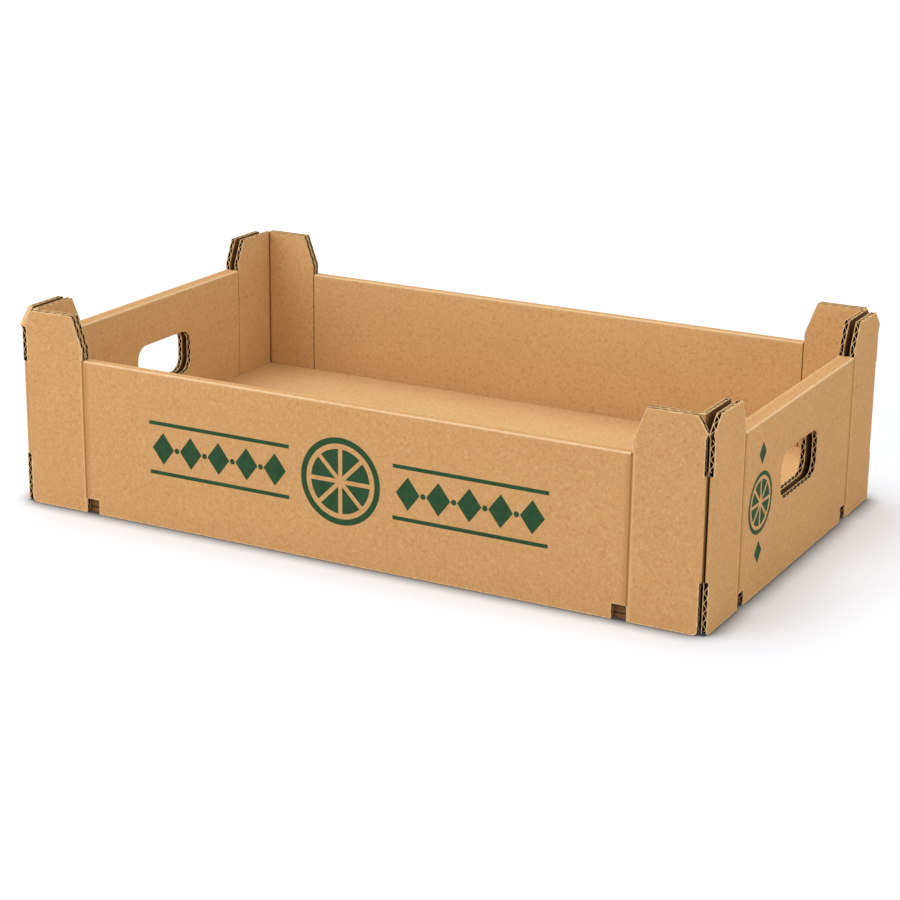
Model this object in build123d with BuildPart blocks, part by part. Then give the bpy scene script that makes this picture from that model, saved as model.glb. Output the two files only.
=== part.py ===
from build123d import *
from math import dist
import os

os.makedirs("parts", exist_ok=True)

# Board: single-wall corrugated cardboard, one sheet folded over scores
board = 3.6  # caliper of the board
fold_radius = 1.4  # outside radius of a fold
glue_line = 0.3  # space between two layers that lie on each other
score_radius = 1.0  # radius of the scoring bead
score_depth = 0.5  # how far the bead is pressed into the outer face

# Fluting: the waved paper between the two liners, open along the die-cut edges
liner = 0.5  # outer or inner paper
flute_pitch = 6.6  # from one wave to the next
flute_paper = 0.4  # half the room that the waved paper takes up at a liner
flute_depth = 2.5  # how deep a flute is open behind the edge
flute_margin = 2.6  # plain board between the last flute and a corner
least_fluted = 10.0  # shorter edges are crushed by the knife and stay plain

# Tray, outside sizes
length = 500.0
width = 300.0
long_wall_height = 106.0
end_wall_height = 113.0
column_height = 135.0
floor_rise = 27.0  # ground to the underside of the floor
floor_clearance = 0.3  # floor corner to the corner post
floor_overlap = 4.0  # how far the floor sheet is drawn past the wall folds

# Corner columns and their lugs
long_column = 51.0  # corner to score, along a long wall
end_column = 51.0  # corner to score, along an end wall
lug_lean = 8.0  # how far a lug's side leans towards the corner
long_lug_foot = 7.0  # upright foot of a lug above the long rim
end_lug_foot = 5.0  # upright foot of a lug above the end rim
rim_slit = 0.8  # die-cut slit between rim and lug

# Die-cut corner edge
corner_bevel_width = 10.5  # top bevel of a lug, measured from the corner
corner_bevel_height = 10.5
end_tip_setback = 0.3  # point of the end panel below its bevel, from the corner
tip_depth = 3.5  # height of the slanted underside of a panel's point
long_slot_step = 0.1  # long panel's edge beside a slot, from where its corner fold begins
end_edge_setback = 2.5  # end panel's upright edge, from the corner
slot_bevel = 1.2
upper_slot_bottom = 100.0
lower_slot_top = 32.0
foot_radius = 2.5  # rounded lower corner of a column panel

# Foot of a corner post's leg, under the inner wall
post_foot_reach = 16.0  # how far it reaches past the column's score

# Bottom notches beside the columns
notch_width = 10.0
notch_height = 10.0
notch_radius = 1.0

# Hand holes in the end walls
hand_hole_width = 66.0
hand_hole_height = 32.0
hand_hole_radius = 10.0
hand_hole_centre = 66.0  # height of the hole's middle above the ground

# Glue flap that the long panel turns behind the end panel
flap_reach = 44.0

# Places that follow from the sizes
half_length = length / 2
half_width = width / 2
floor_top = floor_rise + board
long_wall = 2 * board + glue_line
end_wall = 3 * board + 2 * glue_line
long_score = half_length - long_column
end_score = half_width - end_column
wrap_edge = half_length - board - glue_line
long_slot_edge = wrap_edge - fold_radius - long_slot_step
end_panel_edge = half_width - end_edge_setback
tip_height = column_height - corner_bevel_height
post_side = half_width - board - glue_line
post_end = half_length - end_wall + board
half_pitch = flute_pitch / 2
flute_reach = half_pitch - flute_paper
flute_core = board - 2 * liner


def lug_side(score, rim_height, foot):
    """Outline of a lug's slanted side, from its top down to the rim."""
    return [
        (score + lug_lean, column_height),
        (score, rim_height + foot),
    ]


def panel_outline(score, slot_edge, folded_edge, tip_edge, corner, rim_height, foot):
    """Half the outline of an outer panel, from the middle of the wall to its corner."""
    return [
        (0, 0),
        (slot_edge, 0),
        (slot_edge, lower_slot_top - slot_bevel),
        (folded_edge, lower_slot_top + slot_bevel),
        (folded_edge, upper_slot_bottom - slot_bevel),
        (slot_edge, upper_slot_bottom + slot_bevel),
        (slot_edge, tip_height - tip_depth),
        (tip_edge, tip_height),
        (corner - corner_bevel_width, column_height),
        *lug_side(score, rim_height, foot),
        (score, rim_height - fold_radius),
        (0, rim_height - fold_radius),
    ]


def leg_outline(score, corner_edge, rim_height, foot):
    """Outline of one leg of a corner post."""
    post_foot_top = floor_rise - glue_line
    return [
        (score - post_foot_reach, 0),
        (corner_edge, 0),
        (corner_edge, column_height),
        *lug_side(score, rim_height, foot),
        (score, post_foot_top),
        (score - post_foot_reach, post_foot_top),
    ]


def lug_edges(panel):
    """Edges of a panel that stand open: beside the lower slot, and from the upper slot on."""
    lower_slot, upper_slot_to_lug = panel[1:3], panel[5:11]
    return edges_of(lower_slot) + edges_of(upper_slot_to_lug)


def leg_edges(leg):
    """Edges of a post's leg that stand open: its top, past the other leg, and its slanted side."""
    corner_edge, top = leg[2]
    return edges_of([(corner_edge - board, top), *leg[3:5]])


def edges_of(points):
    """The straight edges of a line of points that are long enough to show their fluting."""
    return [(a, b) for a, b in zip(points, points[1:]) if dist(a, b) > least_fluted]


def edge_plane(edge, placed):
    """Plane of a die-cut edge: x along it, z out of the board."""
    (u1, v1), (u2, v2) = edge
    start, stop = placed(u1, v1), placed(u2, v2)
    outward = placed(u1 + v2 - v1, v1 + u1 - u2) - start
    return Plane(origin=(start + stop) / 2, x_dir=stop - start, z_dir=outward)


def corner_planes(long_edges, end_edges, long_middle, end_middle, end_sign, side_sign):
    """Die-cut edges at one corner, each with its plane, for boards whose middles are given."""
    middle_x, middle_y = end_sign * end_middle, side_sign * long_middle
    on_long_wall = [
        (edge, edge_plane(edge, lambda u, v: Vector(end_sign * u, middle_y, v)))
        for edge in long_edges
    ]
    on_end_wall = [
        (edge, edge_plane(edge, lambda u, v: Vector(middle_x, side_sign * u, v)))
        for edge in end_edges
    ]
    return on_long_wall + on_end_wall


def flute_cells(edge):
    """Open triangles between the liners and the waved paper, by turns on either liner."""
    room = dist(*edge) - 2 * (flute_margin + flute_reach)
    last = int(room / half_pitch)
    height = flute_core * flute_reach / half_pitch
    cells = []
    for i in range(last + 1):
        middle = (i - last / 2) * half_pitch
        turn = -1 if i % 2 else 1
        foot = -turn * flute_core / 2
        cells.append(
            [
                (middle - turn * flute_reach, foot),
                (middle + turn * flute_reach, foot),
                (middle, foot + turn * height),
            ]
        )
    return cells


def rolled_wall_section(outside, wall, rim_height):
    """Section of a rim, the inner wall below it and the fold into the floor."""
    return [
        (-outside, rim_height - board),
        (-outside, rim_height),
        (-outside + wall, rim_height),
        (-outside + wall, floor_top),
        (-outside + wall + floor_overlap, floor_top),
        (-outside + wall + floor_overlap, floor_rise),
        (-outside + wall - board, floor_rise),
        (-outside + wall - board, rim_height - board),
    ]


# Outlines of the outer panels, from which their open fluting follows too
long_panel = panel_outline(
    long_score,
    long_slot_edge,
    wrap_edge,
    wrap_edge,
    half_length,
    long_wall_height,
    long_lug_foot,
)
end_panel = panel_outline(
    end_score,
    end_panel_edge,
    end_panel_edge,
    half_width - end_tip_setback,
    half_width,
    end_wall_height,
    end_lug_foot,
)

# Tray blank: floor, inner walls, rims, outer panels and glue flaps in one sheet
with BuildPart() as tray_blank:
    # Floor
    with BuildSketch(Plane.XY.offset(floor_rise)):
        Rectangle(
            length - 2 * (end_wall + floor_clearance),
            width - 2 * (long_wall + floor_clearance),
        )
    extrude(amount=board)

    # Front wall: rim rolled over, inner wall down to the floor
    with BuildSketch(Plane.YZ) as front_section:
        with BuildLine():
            Polyline(*rolled_wall_section(half_width, long_wall, long_wall_height), close=True)
        make_face()
        fillet(front_section.vertices().group_by(Axis.Y)[-1], fold_radius)
        fold_under = front_section.vertices().group_by(Axis.Y)[0].sort_by(Axis.X)[0]
        fillet(fold_under, fold_radius)
    extrude(amount=long_score - rim_slit, both=True)

    # End wall: the same roll, wider because the glue flaps lie inside it
    with BuildSketch(Plane.XZ) as end_section:
        with BuildLine():
            Polyline(*rolled_wall_section(half_length, end_wall, end_wall_height), close=True)
        make_face()
        fillet(end_section.vertices().group_by(Axis.Y)[-1], fold_radius)
        fold_under = end_section.vertices().group_by(Axis.Y)[0].sort_by(Axis.X)[0]
        fillet(fold_under, fold_radius)
    extrude(amount=end_score - rim_slit, both=True)

    # Front outer panel with its two lugs, corner slots and bottom notches
    with BuildSketch(Plane.XZ.offset(half_width)) as front_panel:
        with BuildLine():
            Polyline(*long_panel, close=True)
        make_face()
        foot_corner = front_panel.vertices().group_by(Axis.Y)[0].sort_by(Axis.X)[-1]
        fillet(foot_corner, foot_radius)
        with Locations((long_score - notch_width / 2, 0)):
            Rectangle(notch_width, 2 * notch_height, mode=Mode.SUBTRACT)
        notch_top = front_panel.vertices().filter_by_position(
            Axis.Y, notch_height - notch_radius, notch_height + notch_radius
        )
        fillet(notch_top, notch_radius)
        mirror(about=Plane.YZ)
    extrude(amount=-board)

    # End outer panel, cut in the same way
    with BuildSketch(Plane.YZ.offset(half_length)) as right_panel:
        with BuildLine():
            Polyline(*end_panel, close=True)
        make_face()
        foot_corner = right_panel.vertices().group_by(Axis.Y)[0].sort_by(Axis.X)[-1]
        fillet(foot_corner, foot_radius)
        with Locations((end_score - notch_width / 2, 0)):
            Rectangle(notch_width, 2 * notch_height, mode=Mode.SUBTRACT)
        notch_top = right_panel.vertices().filter_by_position(
            Axis.Y, notch_height - notch_radius, notch_height + notch_radius
        )
        fillet(notch_top, notch_radius)
        mirror(about=Plane.YZ)
    extrude(amount=-board)

    # Glue flap: the front panel folds round the corner, behind the end panel
    flap_bottom = lower_slot_top + slot_bevel
    flap_top = upper_slot_bottom - slot_bevel
    with BuildSketch(Plane.XY.offset(flap_bottom)) as flap_plan:
        with Locations((wrap_edge, -half_width)):
            Rectangle(board, flap_reach, align=(Align.MAX, Align.MIN))
    extrude(amount=flap_top - flap_bottom)
    corner_fold = (
        tray_blank.edges()
        .filter_by(Axis.Z)
        .sort_by_distance((wrap_edge, -half_width, (flap_bottom + flap_top) / 2))[0]
    )
    fillet(corner_fold, fold_radius)

    # The end panel's edge is pressed round where it lies on the fold of the glue flap
    with BuildSketch(Plane.XY.offset(flap_bottom)):
        with Locations((half_length, -end_panel_edge)):
            Rectangle(fold_radius, fold_radius, align=(Align.MAX, Align.MIN))
        with Locations((half_length - fold_radius, -end_panel_edge + fold_radius)):
            Circle(fold_radius, mode=Mode.SUBTRACT)
    extrude(amount=flap_top - flap_bottom, mode=Mode.SUBTRACT)

    # Pressed scores where the columns begin
    with BuildSketch(Plane.XY.offset(notch_height)):
        with Locations((long_score, -half_width + score_depth - score_radius)):
            Circle(score_radius)
    extrude(amount=long_wall_height - notch_height, mode=Mode.SUBTRACT)
    with BuildSketch(Plane.XY.offset(notch_height)):
        with Locations((half_length - score_depth + score_radius, -end_score)):
            Circle(score_radius)
    extrude(amount=end_wall_height - notch_height, mode=Mode.SUBTRACT)

    # The other half of each wall, and the other two walls
    mirror(about=Plane.XZ)
    mirror(about=Plane.YZ)

    # Hand holes through both layers of the two end walls
    with BuildSketch(Plane.YZ):
        with Locations((0, hand_hole_centre)):
            RectangleRounded(hand_hole_width, hand_hole_height, hand_hole_radius)
    extrude(amount=half_length, both=True, mode=Mode.SUBTRACT)

    # Open fluting along the die-cut edges of the lugs and corner slots
    for end_sign in (-1, 1):
        for side_sign in (-1, 1):
            for edge, plane in corner_planes(
                lug_edges(long_panel),
                lug_edges(end_panel),
                half_width - board / 2,
                half_length - board / 2,
                end_sign,
                side_sign,
            ):
                with BuildSketch(plane):
                    for cell in flute_cells(edge):
                        Polygon(*cell, align=None)
    extrude(amount=-flute_depth, mode=Mode.SUBTRACT)

tray_blank.part.label = "tray_blank"
export_step(tray_blank.part, "parts/tray_blank.step")

# Corner posts: an L of board inside each corner, its two legs cut as lugs
long_leg = leg_outline(long_score, post_end, long_wall_height, long_lug_foot)
end_leg = leg_outline(end_score, post_side, end_wall_height, end_lug_foot)

for end_name, end_sign in (("left", -1), ("right", 1)):
    for side_name, side_sign in (("front", -1), ("back", 1)):
        with BuildPart() as corner_post:
            with BuildSketch(Plane.XZ.offset(-side_sign * post_side)):
                with BuildLine():
                    Polyline(*[(end_sign * x, z) for x, z in long_leg], close=True)
                make_face()
            extrude(amount=side_sign * board)
            with BuildSketch(Plane.YZ.offset(end_sign * post_end)):
                with BuildLine():
                    Polyline(*[(side_sign * y, z) for y, z in end_leg], close=True)
                make_face()
            extrude(amount=-end_sign * board)
            post_fold = (
                corner_post.edges()
                .filter_by(Axis.Z)
                .sort_by_distance((end_sign * post_end, side_sign * post_side, column_height / 2))[0]
            )
            fillet(post_fold, fold_radius)

            # Open fluting along the top and the slanted side of each leg
            for edge, plane in corner_planes(
                leg_edges(long_leg),
                leg_edges(end_leg),
                post_side - board / 2,
                post_end - board / 2,
                end_sign,
                side_sign,
            ):
                with BuildSketch(plane):
                    for cell in flute_cells(edge):
                        Polygon(*cell, align=None)
            extrude(amount=-flute_depth, mode=Mode.SUBTRACT)
        name = f"corner_post_{side_name}_{end_name}"
        corner_post.part.label = name
        export_step(corner_post.part, f"parts/{name}.step")
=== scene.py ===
import math

import bmesh
import bpy
from mathutils import Matrix, Vector


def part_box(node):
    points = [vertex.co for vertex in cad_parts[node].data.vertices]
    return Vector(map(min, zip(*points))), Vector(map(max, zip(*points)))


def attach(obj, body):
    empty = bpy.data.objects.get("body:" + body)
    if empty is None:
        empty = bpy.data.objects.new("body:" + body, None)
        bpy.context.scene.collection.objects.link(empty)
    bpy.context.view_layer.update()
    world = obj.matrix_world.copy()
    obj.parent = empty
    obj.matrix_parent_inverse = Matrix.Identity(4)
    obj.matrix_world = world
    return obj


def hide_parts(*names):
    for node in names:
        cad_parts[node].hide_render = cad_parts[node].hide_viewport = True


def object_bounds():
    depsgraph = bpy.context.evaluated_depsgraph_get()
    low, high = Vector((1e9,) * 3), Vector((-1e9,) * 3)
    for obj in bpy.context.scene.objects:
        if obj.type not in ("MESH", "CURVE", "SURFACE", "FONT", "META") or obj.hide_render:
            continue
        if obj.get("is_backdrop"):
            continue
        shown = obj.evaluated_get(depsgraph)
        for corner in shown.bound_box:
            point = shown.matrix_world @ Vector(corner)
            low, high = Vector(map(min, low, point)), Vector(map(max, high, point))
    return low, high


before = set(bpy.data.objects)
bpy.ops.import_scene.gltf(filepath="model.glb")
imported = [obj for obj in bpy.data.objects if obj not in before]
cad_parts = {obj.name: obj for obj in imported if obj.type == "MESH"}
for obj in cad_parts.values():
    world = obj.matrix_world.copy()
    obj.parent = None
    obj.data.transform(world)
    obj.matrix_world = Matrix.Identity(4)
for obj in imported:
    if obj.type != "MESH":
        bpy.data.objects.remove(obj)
cad_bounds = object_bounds()

# Sizes are in millimetres, except in the studio
MM = 0.001

# Foot of a corner post's leg, under the inner wall
post_foot_reach = 16.0

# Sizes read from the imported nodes
_, tray_high = (Vector(corner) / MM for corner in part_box("tray_blank"))
post_low, post_high = (Vector(corner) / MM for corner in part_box("corner_post_front_right"))
half_length = tray_high.x
half_width = tray_high.y
column_height = tray_high.z
long_score = post_low.x + post_foot_reach
end_score = -post_high.y + post_foot_reach
post_end = post_high.x
post_side = -post_low.y

# Corrugated board
board = 3.6  # caliper
liner = 0.55  # outer or inner paper
glue_line = 0.3  # space between two layers that lie on each other
fold_radius = 1.4  # outside radius of a fold
flute_pitch = 6.6  # from one wave to the next
flute_paper = 0.48  # waved paper between the liners
flute_depth = 5.0  # how deep a flute is open behind a cut edge
top_flute_depth = 0.4  # the same in the tops of the lugs, which look nearly shut
least_fluted = 5.0  # shorter sides are crushed by the knife and stay plain

# Walls
long_wall_height = 106.0
end_wall_height = 113.0
floor_rise = 27.0
floor_top = floor_rise + board
floor_gap = 0.3
long_wall = 2 * board + glue_line
end_wall = 3 * board + 2 * glue_line
rim_slit = 0.8
long_reach = long_score - rim_slit
end_reach = end_score - rim_slit

# Column panels and lugs
lug_lean = 8.0
long_lug_foot = 7.0
end_lug_foot = 5.0
corner_bevel_width = 10.5
corner_bevel_height = 10.5
tip_height = column_height - corner_bevel_height
tip_depth = 3.5
end_tip_setback = 0.3
end_edge_setback = 2.5
long_slot_step = 0.1
slot_bevel = 1.2
upper_slot_bottom = 100.0
lower_slot_top = 32.0
foot_radius = 2.5
flap_bottom = lower_slot_top + slot_bevel
flap_top = upper_slot_bottom - slot_bevel
flap_reach = 44.0
wrap_edge = half_length - board - glue_line
long_slot_edge = wrap_edge - fold_radius - long_slot_step
end_panel_edge = half_width - end_edge_setback
post_foot_top = floor_rise - glue_line

# Scores, creases, lines of wear and painted highlight along the rims, and the open joint at a corner fold
score_radius = 1.0
score_depth = 0.45
rim_score_radius = 1.2
rim_score_depth = 0.25
crease_radius = 0.9
foot_crease_height = 3.2
foot_crease_width = 0.7
foot_crease_depth = 0.45
rim_line = 0.6
rim_line_past = 0.2
joint_width = 1.1
joint_depth = 6.0
joint_lip = 0.5

# Bottom notches and hand holes
notch_width = 10.0
notch_height = 10.0
notch_radius = 1.0
notch_shade_margin = 1.0
hole_width = 66.0
hole_height = 32.0
hole_radius = 10.0
hole_centre = 66.0

# Print on the front: a slice of fruit between two friezes of rules, diamonds and dots
front_middle = 55.0
front_slice = 29.0
frieze_start = front_slice + 9.0
frieze_stop = 146.0
rule_level = 17.0
rule_width = 2.6
frieze_diamonds = 5
frieze_diamond = (17.0, 22.0)
frieze_dot = 1.9

# Print on the right end: a smaller slice between two diamonds
end_slice = 20.0
end_slice_place = (-68.0, 60.0)
end_diamond_heights = (28.0, 92.0)
end_diamond = (12.0, 15.0)

# A slice's wedges and rind, as shares of its radius
slice_wedges = 8
wedge_gap = 0.05
wedge_reach = 0.74
rind_inside = 0.86
rind_pieces = 24
ink_depth = 0.02

# Cutting tools: how far they start outside the board, and how little they take off a face
overrun = 1.0
skin = 0.02

# How far solids overlap where they are joined, and the slack where places are compared
weld = 0.01

# Steps of a fold, a notch's corner, a hand hole's corner, a bead, a crease, a dot and a wedge
fold_steps = 6
notch_steps = 3
hole_steps = 8
bead_steps = 16
crease_steps = 12
dot_steps = 20
wedge_steps = 6

# Points closer than this are one, and a worn fold's points lie this near to its arc
same_point = 1e-6
near_fold = 0.05

# Sharpest turn that is shaded as round, in degrees
round_turn = 32

# Kraft paper: patches as waves per metre, roughness and how dark they are
PULP_PATCHES = ((22.0, 0.55, 0.12), (420.0, 0.65, 0.20))
PULP_GRAIN = 900.0

# Its fibres: curls and breaks per metre, how much of a fibre shows, the step to a second layer
FIBRE_CURLS = 210.0
FIBRE_BREAKS = 330.0
FIBRE_SHOWN = (0.46, 0.58)
FIBRE_LAYER_STEP = 2.3

# Dark and light fibres: shift of the pattern and width of a fibre
DARK_FIBRES = (0.0, 0.045)
LIGHT_FIBRES = (7.1, 0.035)

# Strips beside a score, painted darker for the pressed paper and the shade in the crease and lighter as a
# painted highlight on its lit side: how far from it and how wide
SCORE_SHADE = (-1.6, 3.2)
SCORE_HIGHLIGHT = (1.5, 1.1)
FACE_DEPTH = 0.1

# Shifts of the paper's pattern from one direction of faces to another
FACE_SHIFT = 0.37
BACK_SHIFT = 0.19


def to_linear(red, green, blue):
    """Colour for a shader from its display values, 0 to 255."""
    return [((c / 255 + 0.055) / 1.055) ** 2.4 for c in (red, green, blue)] + [1.0]


KRAFT = to_linear(215, 167, 112)
# Painted light: the inside faces of the tray are lighter and less red than the outside
INSIDE_PAINTED_LIGHT_KRAFT = to_linear(227, 190, 137)
# Painted shade: dark kraft between the layers of the end walls and behind the bottom notches
PAINTED_SHADE_KRAFT = to_linear(112, 76, 40)
KRAFT_DARK = to_linear(181, 128, 73)
KRAFT_LIGHT = to_linear(234, 194, 144)
# Pressed paper, darkened further as painted shade in the grooves of scores and creases
PRESSED_SHADED_KRAFT = to_linear(180, 130, 78)
# Lighter paper on fold ridges and die-cut rims, partly wear and partly painted highlight
WORN_HIGHLIGHT_KRAFT = to_linear(241, 209, 165)
CUT_PAPER = to_linear(233, 202, 152)
# Painted shade and light in the flutes: darkened fluting paper, near-black hollows, a lighter copy on the
# lugs' tops
SHADED_FLUTE_PAPER = to_linear(130, 96, 54)
FLUTE_SHADE = to_linear(48, 32, 14)
LIT_HOLLOW = to_linear(224, 188, 134)
INK_GREEN = to_linear(40, 80, 47)
INK_DARK = to_linear(30, 65, 37)
DEEP_SHADE = to_linear(26, 17, 7)
SPECK_BROWN = to_linear(110, 70, 36)


# Materials


def add_node(tree, kind, settings=None, **inputs):
    """Add a node, set its options and feed its inputs with values or sockets."""
    node = tree.nodes.new(kind)
    for name, value in (settings or {}).items():
        setattr(node, name, value)
    for name, value in inputs.items():
        key = int(name[1:]) if name[0] == "_" else name.replace("_", " ")
        if isinstance(value, bpy.types.NodeSocket):
            tree.links.new(value, node.inputs[key])
        else:
            node.inputs[key].default_value = value
    return node


def paper_coordinates(tree, stretch=(1.0, 1.0, 1.0)):
    """The sheet's own flat coordinates, in metres, stretched."""
    flat = add_node(tree, "ShaderNodeUVMap", {"uv_map": "sheet"}).outputs["UV"]
    return add_node(tree, "ShaderNodeMapping", Vector=flat, Scale=stretch).outputs[0]


def object_place(tree):
    """The three coordinates of a point of the part, in metres."""
    where = add_node(tree, "ShaderNodeTexCoord").outputs["Object"]
    return add_node(tree, "ShaderNodeSeparateXYZ", Vector=where).outputs


def noise(tree, where, scale, detail=2.0, roughness=0.5):
    """Noise value between 0 and 1 at a scale given in waves per metre."""
    return add_node(
        tree, "ShaderNodeTexNoise", Vector=where, Scale=scale, Detail=detail, Roughness=roughness
    ).outputs["Fac"]


def spread(tree, value, low, high, new_low=0.0, new_high=1.0):
    """Map a range of values onto another, held at both ends."""
    return add_node(
        tree, "ShaderNodeMapRange", {"clamp": True}, _0=value, _1=low, _2=high, _3=new_low, _4=new_high
    ).outputs[0]


def figure(tree, operation, first, *others):
    """One operation on a number or socket, or along a row of them."""
    total = first
    for other in others or [0.0]:
        total = add_node(
            tree, "ShaderNodeMath", {"operation": operation}, _0=total, _1=other
        ).outputs[0]
    return total


def off_from(tree, value, place):
    """How far a value is from a place, either way."""
    return figure(tree, "ABSOLUTE", figure(tree, "SUBTRACT", value, place))


def blend_colour(tree, share, first, second):
    """Mix two colours by a share."""
    return add_node(
        tree, "ShaderNodeMix", {"data_type": "RGBA"}, _0=share, _6=first, _7=second
    ).outputs[2]


def tinted(tree, colour, other, share, strength):
    """A colour turned towards another by a share times a strength."""
    return blend_colour(tree, figure(tree, "MULTIPLY", share, strength), colour, other)


def paper_fibres(tree, shift, width):
    """Short curled fibres pressed into the sheet, 1 on a fibre."""
    flat = paper_coordinates(tree)
    layers = []
    for away in (0.0, FIBRE_LAYER_STEP):
        place = add_node(
            tree, "ShaderNodeVectorMath", {"operation": "ADD"}, _0=flat, _1=(shift, away, 0)
        ).outputs[0]
        line = spread(tree, off_from(tree, noise(tree, place, FIBRE_CURLS, 1.0), 0.5), width, 0.0)
        shown = spread(tree, noise(tree, place, FIBRE_BREAKS, 1.0), *FIBRE_SHOWN)
        layers.append(figure(tree, "MULTIPLY", line, shown))
    return figure(tree, "MAXIMUM", *layers)


def inside_painted_light_share(tree):
    """1 on the faces that look into the tray, 0 on its outside; the inside is painted lighter and less
    red, as painted light.
    """
    place = object_place(tree)
    within = [
        figure(tree, "LESS_THAN", figure(tree, "ABSOLUTE", place[axis]), (reach + board / 2) * MM)
        for axis, reach in enumerate((half_length - end_wall, half_width - long_wall))
    ]
    return figure(tree, "MULTIPLY", *within)


def layer_gap_shade_share(tree):
    """1 on the faces that look into the gap between the two layers of an end wall, which are darkened
    there as painted shade.
    """
    along, across, up = object_place(tree)
    normal = add_node(tree, "ShaderNodeNewGeometry").outputs["True Normal"]
    facing = add_node(tree, "ShaderNodeSeparateXYZ", Vector=normal).outputs[0]
    middle = half_length - end_wall / 2
    off = off_from(tree, figure(tree, "ABSOLUTE", along), middle * MM)
    near = figure(tree, "LESS_THAN", off, (end_wall / 2 - board + liner) * MM)
    square = figure(tree, "GREATER_THAN", figure(tree, "ABSOLUTE", facing), 0.9)
    above_floor = figure(tree, "GREATER_THAN", up, floor_rise * MM)
    at_column = figure(tree, "GREATER_THAN", figure(tree, "ABSOLUTE", across), end_score * MM)
    covered = figure(tree, "MAXIMUM", above_floor, at_column)
    return figure(tree, "MULTIPLY", near, square, covered)


def notch_shade_share(tree):
    """How much painted shade lies on a post's foot where it is seen through a bottom notch, darkest at its
    top.
    """
    place = object_place(tree)
    feet = []
    for axis, score, face in ((0, long_score, half_width), (1, end_score, half_length)):
        along = figure(tree, "ABSOLUTE", place[axis])
        off_notch = off_from(tree, along, (score - notch_width / 2) * MM)
        in_notch = figure(tree, "LESS_THAN", off_notch, (notch_width / 2 + notch_shade_margin) * MM)
        depth = figure(tree, "SUBTRACT", face * MM, figure(tree, "ABSOLUTE", place[1 - axis]))
        off_foot = off_from(tree, depth, (board + glue_line) * MM)
        at_foot = figure(tree, "LESS_THAN", off_foot, glue_line / 2 * MM)
        feet.append(figure(tree, "MULTIPLY", in_notch, at_foot))
    low = figure(tree, "LESS_THAN", place[2], (notch_height + notch_shade_margin) * MM)
    dark = spread(tree, place[2], 0.0, notch_height * MM, 0.8, 1.0)
    return figure(tree, "MULTIPLY", figure(tree, "MAXIMUM", *feet), low, dark)


def upright_band(tree, axis, distance, width):
    """1 in a strip beside the scores at an axis's distance, on the walls' outer faces."""
    place = object_place(tree)
    along = figure(tree, "ABSOLUTE", place[axis])
    out = figure(tree, "ABSOLUTE", place[1 - axis])
    reach = half_length if axis else half_width
    near = spread(tree, off_from(tree, along, distance * MM), width * MM, 0.0)
    on_face = figure(tree, "GREATER_THAN", out, (reach - FACE_DEPTH) * MM)
    return figure(tree, "MULTIPLY", near, on_face)


def matt_shader(name, roughness=0.82, gloss=0.22):
    """A material with its matt shader."""
    material = bpy.data.materials.new(name)
    material.use_nodes = True
    tree = material.node_tree
    shader = tree.nodes["Principled BSDF"]
    shader.inputs["Roughness"].default_value = roughness
    shader.inputs["Specular IOR Level"].default_value = gloss
    return material, tree, shader


def paper_surface(tree, shader, colour, height, distance):
    """Give a shader its colour and raise its surface by a height socket."""
    tree.links.new(colour, shader.inputs["Base Color"])
    bump = add_node(tree, "ShaderNodeBump", Strength=0.5, Distance=distance, Height=height)
    tree.links.new(bump.outputs[0], shader.inputs["Normal"])


def kraft_liner():
    """Brown kraft paper: clouded pulp, fibres, a few specks, creased scores and worn folds, with painted
    light and shade: lighter inside the tray, highlighted fold ridges, shade and highlight beside the
    scores, and shade between layers and behind the notches.
    """
    material, tree, shader = matt_shader("kraft_liner")
    flat = paper_coordinates(tree)
    # Painted light: lighter, less red kraft on the faces inside the tray
    colour = blend_colour(tree, inside_painted_light_share(tree), KRAFT, INSIDE_PAINTED_LIGHT_KRAFT)
    for scale, roughness, strength in PULP_PATCHES:
        patches = spread(tree, noise(tree, flat, scale, 3.0, roughness), 0.3, 0.7)
        colour = tinted(tree, colour, KRAFT_DARK, patches, strength)
    light_fibres = paper_fibres(tree, *LIGHT_FIBRES)
    colour = tinted(tree, colour, KRAFT_DARK, paper_fibres(tree, *DARK_FIBRES), 0.42)
    colour = tinted(tree, colour, KRAFT_LIGHT, light_fibres, 0.38)
    dots = add_node(
        tree, "ShaderNodeTexVoronoi", {"feature": "F1"}, Vector=flat, Scale=95.0, Randomness=1.0
    ).outputs
    chosen = spread(tree, dots["Color"], 0.90, 0.93)
    speck = figure(tree, "MULTIPLY", spread(tree, dots["Distance"], 0.055, 0.025), chosen)
    colour = tinted(tree, colour, SPECK_BROWN, speck, 0.45)
    # Painted shade in the crease beside each score and a painted highlight on its lit side
    for axis, score in ((0, long_score), (1, end_score)):
        for (past, width), other in ((SCORE_SHADE, PRESSED_SHADED_KRAFT), (SCORE_HIGHLIGHT, KRAFT_LIGHT)):
            band = upright_band(tree, axis, score + past, width)
            colour = tinted(tree, colour, other, band, 0.55)
    # Fold ridges lighter, partly wear and partly painted highlight
    wear = add_node(tree, "ShaderNodeAttribute", {"attribute_name": "fold_wear_and_highlight"}).outputs["Fac"]
    drawn_out = paper_coordinates(tree, (1.0, 3.0, 1.0))
    ragged = spread(tree, noise(tree, drawn_out, 160.0, 3.0), 0.3, 0.62, 0.45, 0.95)
    colour = tinted(tree, colour, WORN_HIGHLIGHT_KRAFT, wear, ragged)
    # Painted shade between the two layers of an end wall and on the feet seen through the notches
    colour = tinted(tree, colour, PAINTED_SHADE_KRAFT, layer_gap_shade_share(tree), 0.85)
    colour = blend_colour(tree, notch_shade_share(tree), colour, PAINTED_SHADE_KRAFT)
    raised = figure(tree, "MULTIPLY", light_fibres, 0.4)
    relief = figure(tree, "ADD", raised, noise(tree, flat, PULP_GRAIN))
    paper_surface(tree, shader, colour, relief, 0.00012)
    return material


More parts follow.
